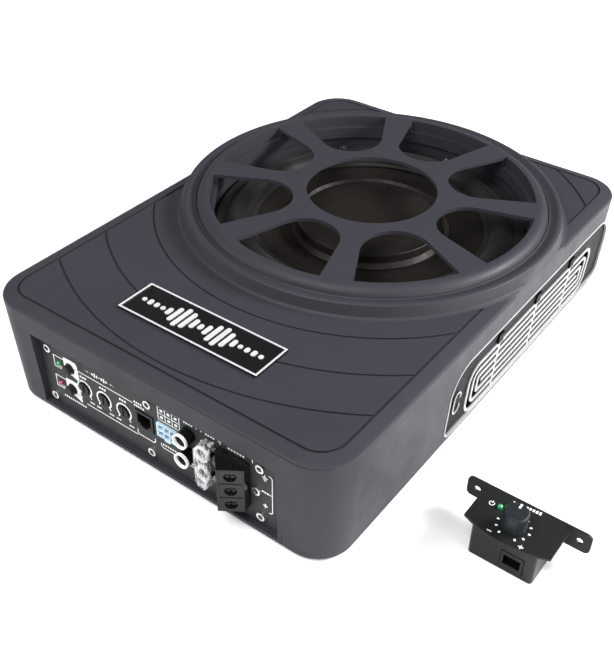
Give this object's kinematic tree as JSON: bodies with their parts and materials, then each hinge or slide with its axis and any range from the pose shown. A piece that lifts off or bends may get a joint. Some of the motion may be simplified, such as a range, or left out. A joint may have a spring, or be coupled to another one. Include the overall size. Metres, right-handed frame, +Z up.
{
  "type": "powered car subwoofer",
  "caption": "Low powered car subwoofer with a cast enclosure, spoked round woofer grille, recessed control panel, side vents and a small remote level control.",
  "frame": {"origin": "centre of the enclosure's footprint on the surface it stands on, 2 mm below the centre of the four base nuts", "axes": "+X along the control panel to the right, +Y from the control panel to the back, +Z up"},
  "size_m": [0.3398, 0.3477, 0.0835],
  "materials": {
    "enclosure_coat": "satin powder coat, dark blue-grey",
    "base_black": "matt black coated steel",
    "steel": "zinc plated",
    "rubber": "matt black rubber",
    "plate_black": "gloss black with a bright border",
    "vent_black": "semi-gloss black moulding",
    "silver": "satin silver plating",
    "basket_black": "black stamped steel",
    "cone_black": "brown-black pulp cone",
    "cap_black": "brown-black dust cap",
    "spider_cloth": "phenolic cotton",
    "kapton": "amber film",
    "copper": "enamelled copper",
    "ferrite": "ground ferrite",
    "zinc_steel": "zinc plated steel",
    "panel_grey": "matt dark grey with white printing",
    "led_green": "green lens",
    "led_red": "red lens",
    "control_black": "fine matt black",
    "component_blue": "blue component body",
    "socket_black": "black nylon",
    "nylon_white": "natural white nylon",
    "contact_tin": "tinned contacts",
    "insulator_white": "white insulator",
    "clear_film": "crumpled clear film",
    "terminal_black": "black moulded terminal block",
    "board_green": "solder mask",
    "brass": "turned brass",
    "sink_aluminium": "extruded",
    "epoxy_black": "moulded epoxy",
    "fuse_blue": "blade fuse body",
    "remote_black": "fine black coat with white printing",
    "knob_black": "soft black knob"
  },
  "bodies": {
    "enclosure": {"enclosure_shell": "enclosure_coat", "base_plate": "base_black", "base_screws": "steel", "rubber_feet": "rubber", "nameplate": "plate_black", "grille_wheel": "enclosure_coat", "grille_screws": "steel", "vent_panel_right": "vent_black", "vent_fins_right": "silver", "vent_trim_right": "silver", "vent_panel_left": "vent_black", "vent_fins_left": "silver", "vent_trim_left": "silver", "woofer_basket": "basket_black", "basket_screws": "steel", "woofer_gasket": "rubber", "woofer_surround": "rubber", "woofer_spider": "spider_cloth", "top_plate": "zinc_steel", "magnet": "ferrite", "pole_yoke": "zinc_steel", "control_panel": "panel_grey", "panel_screws": "steel", "power_led": "led_green", "protect_led": "led_red", "control_bodies": "component_blue", "remote_socket": "socket_black", "speaker_input_socket": "nylon_white", "speaker_input_pins": "contact_tin", "rca_in_housing": "socket_black", "rca_out_housing": "socket_black", "rca_insulators": "insulator_white", "rca_contacts": "contact_tin", "protective_film": "clear_film", "terminal_block": "terminal_black", "amplifier_board": "board_green", "board_standoffs": "brass", "heat_sink": "sink_aluminium", "power_transistors": "epoxy_black", "capacitors": "component_blue", "toroid_inductor": "copper", "blade_fuses": "fuse_blue"},
    "cone_assembly": {"woofer_cone": "cone_black", "dust_cap": "cap_black", "voice_coil_former": "kapton", "voice_coil_winding": "copper"},
    "phase_button": {"phase_button": "control_black"},
    "auto_on_button": {"auto_on_button": "control_black"},
    "level_control": {"level_control": "control_black"},
    "bass_control": {"bass_control": "control_black"},
    "filter_control": {"filter_control": "control_black"},
    "terminal_screw_top": {"terminal_screw_top": "zinc_steel"},
    "terminal_screw_mid": {"terminal_screw_mid": "zinc_steel"},
    "terminal_screw_low": {"terminal_screw_low": "zinc_steel"},
    "remote": {"remote_face_plate": "remote_black", "remote_housing": "socket_black", "remote_led": "led_green", "remote_board": "board_green", "remote_jack": "socket_black"},
    "remote_knob": {"remote_knob": "knob_black"}
  },
  "joints": [
    {"name": "cone_stroke", "type": "slide", "parent": "enclosure", "child": "cone_assembly", "axis": [0, 0, 1], "range_m": [-0.008, 0.008], "stiffness_N_per_m": 2500, "deforming": ["woofer_surround", "woofer_spider"]},
    {"name": "phase_button_press", "type": "slide", "parent": "enclosure", "child": "phase_button", "axis": [0, 1, 0], "range_m": [0, 0.002], "stiffness_N_per_m": 400, "springref_m": -0.001},
    {"name": "auto_on_button_press", "type": "slide", "parent": "enclosure", "child": "auto_on_button", "axis": [0, 1, 0], "range_m": [0, 0.002], "stiffness_N_per_m": 400, "springref_m": -0.001},
    {"name": "level_control_turn", "type": "hinge", "parent": "enclosure", "child": "level_control", "pos_m": [-0.0537, -0.1637, 0.029], "axis": [0, -1, 0], "range_deg": [-140, 140]},
    {"name": "bass_control_turn", "type": "hinge", "parent": "enclosure", "child": "bass_control", "pos_m": [-0.0382, -0.1637, 0.029], "axis": [0, -1, 0], "range_deg": [-140, 140]},
    {"name": "filter_control_turn", "type": "hinge", "parent": "enclosure", "child": "filter_control", "pos_m": [-0.0227, -0.1637, 0.029], "axis": [0, -1, 0], "range_deg": [-140, 140]},
    {"name": "terminal_screw_top_travel", "type": "slide", "parent": "enclosure", "child": "terminal_screw_top", "axis": [0.5677, -0.8232, 0], "range_m": [0, 0.0025]},
    {"name": "terminal_screw_mid_travel", "type": "slide", "parent": "enclosure", "child": "terminal_screw_mid", "axis": [0.5677, -0.8232, 0], "range_m": [0, 0.0025]},
    {"name": "terminal_screw_low_travel", "type": "slide", "parent": "enclosure", "child": "terminal_screw_low", "axis": [0.5677, -0.8232, 0], "range_m": [0, 0.0025]},
    {"name": "remote_lift", "type": "slide", "parent": "enclosure", "child": "remote", "axis": [0, 0, 1], "range_m": [0, 0.12]},
    {"name": "remote_knob_turn", "type": "hinge", "parent": "remote", "child": "remote_knob", "pos_m": [0.184, -0.101, 0.022], "axis": [0, 0, -1], "range_deg": [-150, 150]}
  ]
}
